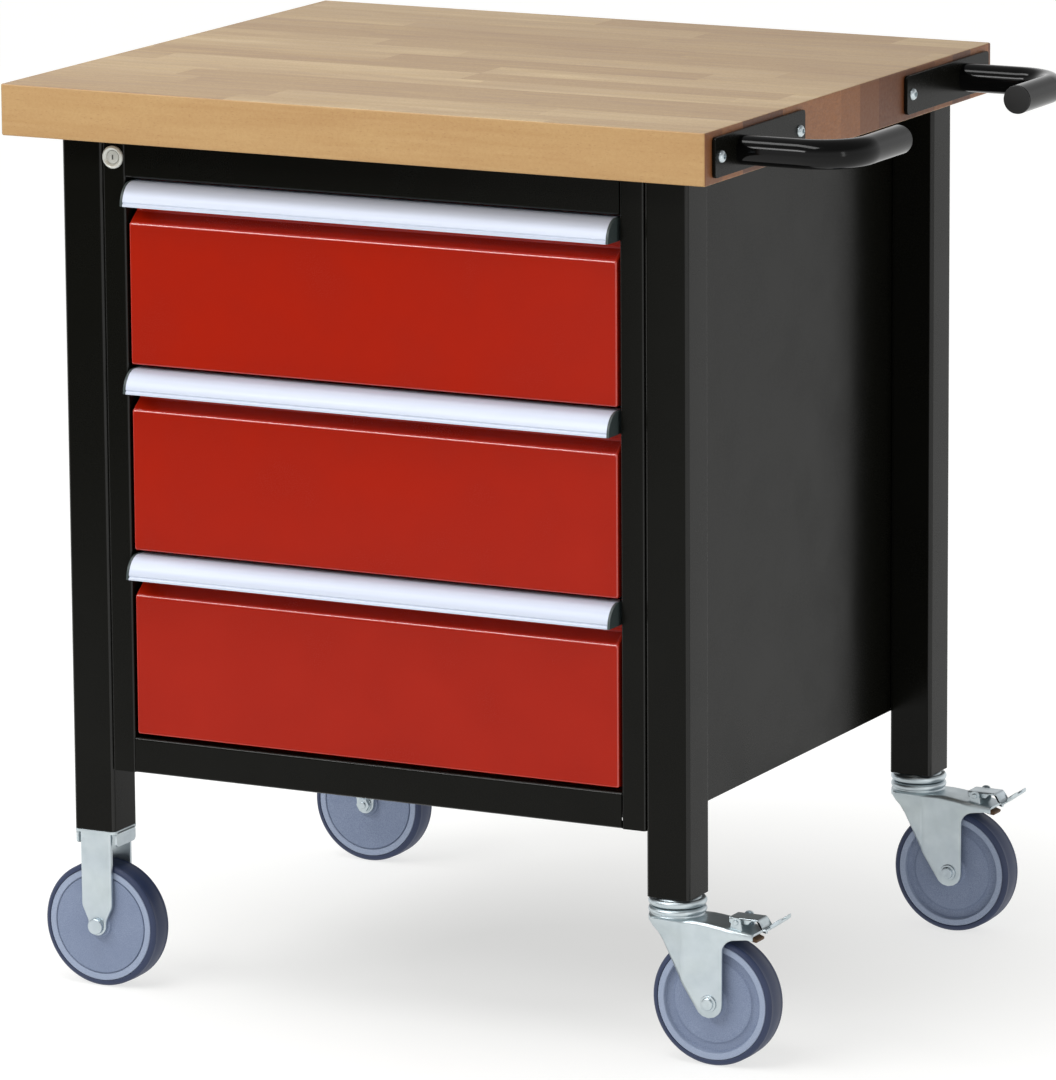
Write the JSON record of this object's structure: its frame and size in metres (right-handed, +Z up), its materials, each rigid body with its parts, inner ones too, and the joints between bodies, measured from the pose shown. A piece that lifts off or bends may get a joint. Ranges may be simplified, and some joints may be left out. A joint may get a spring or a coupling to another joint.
{
  "type": "mobile workbench with drawers",
  "caption": "Mobile workbench: thick wood worktop on four steel legs, a housing with drawers, a central lock, push handles, and fixed and braked swivel castors.",
  "frame": {"origin": "middle of the whole bench's footprint box, on the floor", "axes": "+Z up, +X towards the end with the push handles, -Y towards the side the drawers open to"},
  "size_m": [0.8736, 0.6505, 0.9],
  "materials": {
    "beech": "oiled, satin",
    "black_paint": "fine textured powder coat, semi-matt",
    "red_paint": "fine textured powder coat, satin",
    "aluminium": "anodised, satin",
    "zinc_steel": "bright zinc plate",
    "hub_plastic": "moulded, fine grain",
    "tyre_rubber": "smooth matt thermoplastic rubber",
    "black_plastic": "moulded, matt"
  },
  "bodies": {
    "bench": {"worktop": "beech", "leg_front_left": "black_paint", "leg_front_right": "black_paint", "leg_rear_left": "black_paint", "leg_rear_right": "black_paint", "housing_side_left": "black_paint", "housing_side_right": "black_paint", "top_rail": "black_paint", "bottom_rail": "black_paint", "rear_tie": "black_paint", "back_panel": "black_paint", "floor_panel": "black_paint", "slide_rail_bottom_left": "zinc_steel", "slide_rail_bottom_right": "zinc_steel", "slide_rail_middle_left": "zinc_steel", "slide_rail_middle_right": "zinc_steel", "slide_rail_top_left": "zinc_steel", "slide_rail_top_right": "zinc_steel", "lock_housing": "zinc_steel", "fixed_bracket_front": "zinc_steel", "fixed_bracket_rear": "zinc_steel", "axle_front_left": "zinc_steel", "axle_rear_left": "zinc_steel", "swivel_head_front": "zinc_steel", "swivel_head_rear": "zinc_steel", "push_handle_front": "black_paint", "push_handle_rear": "black_paint", "handle_plug_front": "black_plastic", "handle_plug_rear": "black_plastic"},
    "drawer_top": {"drawer_front_top": "red_paint", "drawer_box_top": "red_paint", "drawer_pull_top": "aluminium", "slide_runner_top_left": "zinc_steel", "slide_runner_top_right": "zinc_steel"},
    "drawer_middle": {"drawer_front_middle": "red_paint", "drawer_box_middle": "red_paint", "drawer_pull_middle": "aluminium", "slide_runner_middle_left": "zinc_steel", "slide_runner_middle_right": "zinc_steel"},
    "drawer_bottom": {"drawer_front_bottom": "red_paint", "drawer_box_bottom": "red_paint", "drawer_pull_bottom": "aluminium", "slide_runner_bottom_left": "zinc_steel", "slide_runner_bottom_right": "zinc_steel"},
    "lock_plug": {"lock_plug": "zinc_steel"},
    "locking_bar": {"locking_bar": "zinc_steel"},
    "swivel_front": {"swivel_fork_front": "zinc_steel", "axle_front_right": "zinc_steel"},
    "brake_pedal_front": {"brake_pedal_front": "zinc_steel"},
    "swivel_rear": {"swivel_fork_rear": "zinc_steel", "axle_rear_right": "zinc_steel"},
    "brake_pedal_rear": {"brake_pedal_rear": "zinc_steel"},
    "wheel_front_left": {"wheel_hub_front_left": "hub_plastic", "tyre_front_left": "tyre_rubber"},
    "wheel_front_right": {"wheel_hub_front_right": "hub_plastic", "tyre_front_right": "tyre_rubber"},
    "wheel_rear_left": {"wheel_hub_rear_left": "hub_plastic", "tyre_rear_left": "tyre_rubber"},
    "wheel_rear_right": {"wheel_hub_rear_right": "hub_plastic", "tyre_rear_right": "tyre_rubber"}
  },
  "joints": [
    {"name": "drawer_top_slide", "type": "slide", "parent": "bench", "child": "drawer_top", "axis": [0, -1, 0], "range_m": [0, 0.4]},
    {"name": "drawer_middle_slide", "type": "slide", "parent": "bench", "child": "drawer_middle", "axis": [0, -1, 0], "range_m": [0, 0.4]},
    {"name": "drawer_bottom_slide", "type": "slide", "parent": "bench", "child": "drawer_bottom", "axis": [0, -1, 0], "range_m": [0, 0.4]},
    {"name": "lock_turn", "type": "hinge", "parent": "bench", "child": "lock_plug", "pos_m": [-0.3392, -0.28, 0.829], "axis": [0, 1, 0], "range_deg": [0, 90]},
    {"name": "locking_bar_drop", "type": "slide", "parent": "bench", "child": "locking_bar", "axis": [0, 0, -1], "range_m": [0, 0.008]},
    {"name": "swivel_front_turn", "type": "hinge", "parent": "bench", "child": "swivel_front", "pos_m": [0.2505, -0.2575, 0.15], "axis": [0, 0, 1], "continuous": true},
    {"name": "brake_pedal_front_press", "type": "hinge", "parent": "swivel_front", "child": "brake_pedal_front", "pos_m": [0.3185, -0.2575, 0.143], "axis": [0, 1, 0], "range_deg": [0, 18]},
    {"name": "swivel_rear_turn", "type": "hinge", "parent": "bench", "child": "swivel_rear", "pos_m": [0.2505, 0.2975, 0.15], "axis": [0, 0, 1], "continuous": true},
    {"name": "brake_pedal_rear_press", "type": "hinge", "parent": "swivel_rear", "child": "brake_pedal_rear", "pos_m": [0.3185, 0.2975, 0.143], "axis": [0, 1, 0], "range_deg": [0, 18]},
    {"name": "wheel_front_left_roll", "type": "hinge", "parent": "bench", "child": "wheel_front_left", "pos_m": [-0.3745, -0.2575, 0.0625], "axis": [0, 1, 0], "continuous": true},
    {"name": "wheel_front_right_roll", "type": "hinge", "parent": "swivel_front", "child": "wheel_front_right", "pos_m": [0.2925, -0.2575, 0.0625], "axis": [0, 1, 0], "continuous": true},
    {"name": "wheel_rear_left_roll", "type": "hinge", "parent": "bench", "child": "wheel_rear_left", "pos_m": [-0.3745, 0.2975, 0.0625], "axis": [0, 1, 0], "continuous": true},
    {"name": "wheel_rear_right_roll", "type": "hinge", "parent": "swivel_rear", "child": "wheel_rear_right", "pos_m": [0.2925, 0.2975, 0.0625], "axis": [0, 1, 0], "continuous": true}
  ],
  "couplings": [
    {"joint": "lock_turn", "follows": "locking_bar_drop", "rad_per_m": 196.34}
  ]
}
